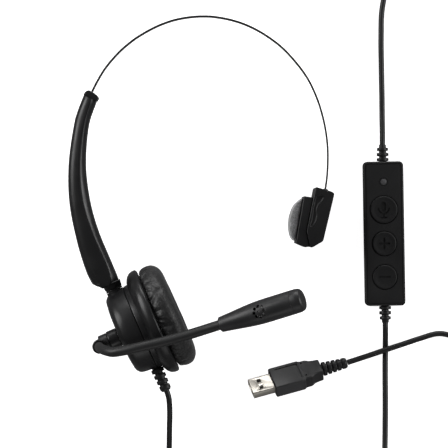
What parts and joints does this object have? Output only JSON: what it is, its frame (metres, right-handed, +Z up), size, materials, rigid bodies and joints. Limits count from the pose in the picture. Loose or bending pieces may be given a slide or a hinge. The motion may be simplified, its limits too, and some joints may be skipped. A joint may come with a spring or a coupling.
{
  "type": "office headset",
  "caption": "Single-ear office headset with an adjustable steel head band, padded T-bar, boom microphone, inline volume remote and USB plug, lying on a table.",
  "frame": {"origin": "on the table under the middle of the headset's box, measured without its cords, remote and plug", "axes": "+Z up from the table, +Y towards the top of the head band, +X from the ear cup towards the T-bar"},
  "size_m": [0.2297, 0.3283, 0.0898],
  "materials": {
    "satin_black": "satin moulded ABS",
    "dark_grey": "fine-textured satin plastic",
    "remote_black": "matte moulded plastic",
    "button_rubber": "matte moulded buttons",
    "leatherette": "soft black leatherette with fine grain",
    "grey_foam": "open-cell grey foam",
    "cord_rubber": "satin black cable jacket",
    "boom_rubber": "smooth black rubber",
    "band_steel": "black-coated spring steel",
    "bare_steel": "plain steel",
    "nickel": "nickel-plated sheet",
    "white_plastic": "white contact carrier",
    "circuit_board": "solder-masked board",
    "speaker_cloth": "acoustic cloth",
    "speaker_film": "thin film",
    "led_lens": "smoked lens"
  },
  "bodies": {
    "ear_cup": {"baffle_ring": "satin_black", "cord_cup_coil": "cord_rubber", "cord_cup_fall": "cord_rubber", "cord_cup_run": "cord_rubber", "cord_usb_coil": "cord_rubber", "cord_usb_drop": "cord_rubber", "cord_usb_run": "cord_rubber", "cup_back_housing": "satin_black", "cup_cord_gland": "boom_rubber", "cup_drum": "satin_black", "cup_screw_1": "bare_steel", "cup_screw_2": "bare_steel", "cup_screw_3": "bare_steel", "cushion_retainer": "remote_black", "ear_cushion": "leatherette", "led_lens": "led_lens", "remote_board": "circuit_board", "remote_bottom_case": "remote_black", "remote_relief_bottom": "boom_rubber", "remote_relief_top": "boom_rubber", "remote_screw_bottom": "bare_steel", "remote_screw_top": "bare_steel", "remote_top_cover": "remote_black", "speaker_cloth": "speaker_cloth", "speaker_diaphragm": "speaker_film", "speaker_frame": "bare_steel", "speaker_magnet": "bare_steel", "terminal_board": "circuit_board", "usb_overmold": "dark_grey", "usb_shell": "nickel", "usb_strain_relief": "boom_rubber", "usb_tongue": "white_plastic"},
    "arm": {"arm_outer_shell": "satin_black", "arm_inner_cover": "satin_black", "arm_end_cap": "satin_black", "arm_detent_spring": "bare_steel", "arm_screw": "bare_steel", "neck_collar": "satin_black", "swivel_pin": "bare_steel"},
    "band": {"band_strip": "band_steel", "band_end_stop": "bare_steel", "band_hinge_clip": "band_steel"},
    "tbar": {"tbar_cover": "satin_black", "tbar_plate": "satin_black", "tbar_foam": "grey_foam", "tbar_hinge_pin": "bare_steel", "tbar_screw_1": "bare_steel", "tbar_screw_2": "bare_steel"},
    "boom": {"boom_hub": "satin_black", "boom_elbow": "dark_grey", "boom_collar": "satin_black", "boom_tube": "boom_rubber", "boom_friction_washer": "boom_rubber", "boom_pivot_screw": "bare_steel", "mic_housing": "dark_grey", "mic_end_cap": "dark_grey", "mic_capsule": "bare_steel"},
    "mute_key": {"mute_button": "button_rubber"},
    "volume_up_key": {"volume_up_button": "button_rubber"},
    "volume_down_key": {"volume_down_button": "button_rubber"}
  },
  "joints": [
    {"name": "cup_swivel", "type": "hinge", "parent": "ear_cup", "child": "arm", "pos_m": [-0.0374, -0.06972, 0.03], "axis": [0.4035, -0.915, 0], "range_deg": [0, 30]},
    {"name": "band_slide", "type": "hinge", "parent": "arm", "child": "band", "pos_m": [0.02134, 0.02234, 0.03], "axis": [0, 0, -1], "range_deg": [0, 18]},
    {"name": "tbar_tilt", "type": "hinge", "parent": "band", "child": "tbar", "pos_m": [0.06714, 0.00149, 0.03], "axis": [0, 0, 1], "range_deg": [-10, 10]},
    {"name": "boom_turn", "type": "hinge", "parent": "ear_cup", "child": "boom", "pos_m": [-0.02322, -0.06347, 0.03], "axis": [0.915, 0.4035, 0], "range_deg": [-75, 60]},
    {"name": "mute_press", "type": "slide", "parent": "ear_cup", "child": "mute_key", "axis": [0, 0, -1], "range_m": [0, 0.0006], "stiffness_N_per_m": 1500, "springref_m": -0.0004},
    {"name": "volume_up_press", "type": "slide", "parent": "ear_cup", "child": "volume_up_key", "axis": [0, 0, -1], "range_m": [0, 0.0006], "stiffness_N_per_m": 1500, "springref_m": -0.0004},
    {"name": "volume_down_press", "type": "slide", "parent": "ear_cup", "child": "volume_down_key", "axis": [0, 0, -1], "range_m": [0, 0.0006], "stiffness_N_per_m": 1500, "springref_m": -0.0004}
  ]
}
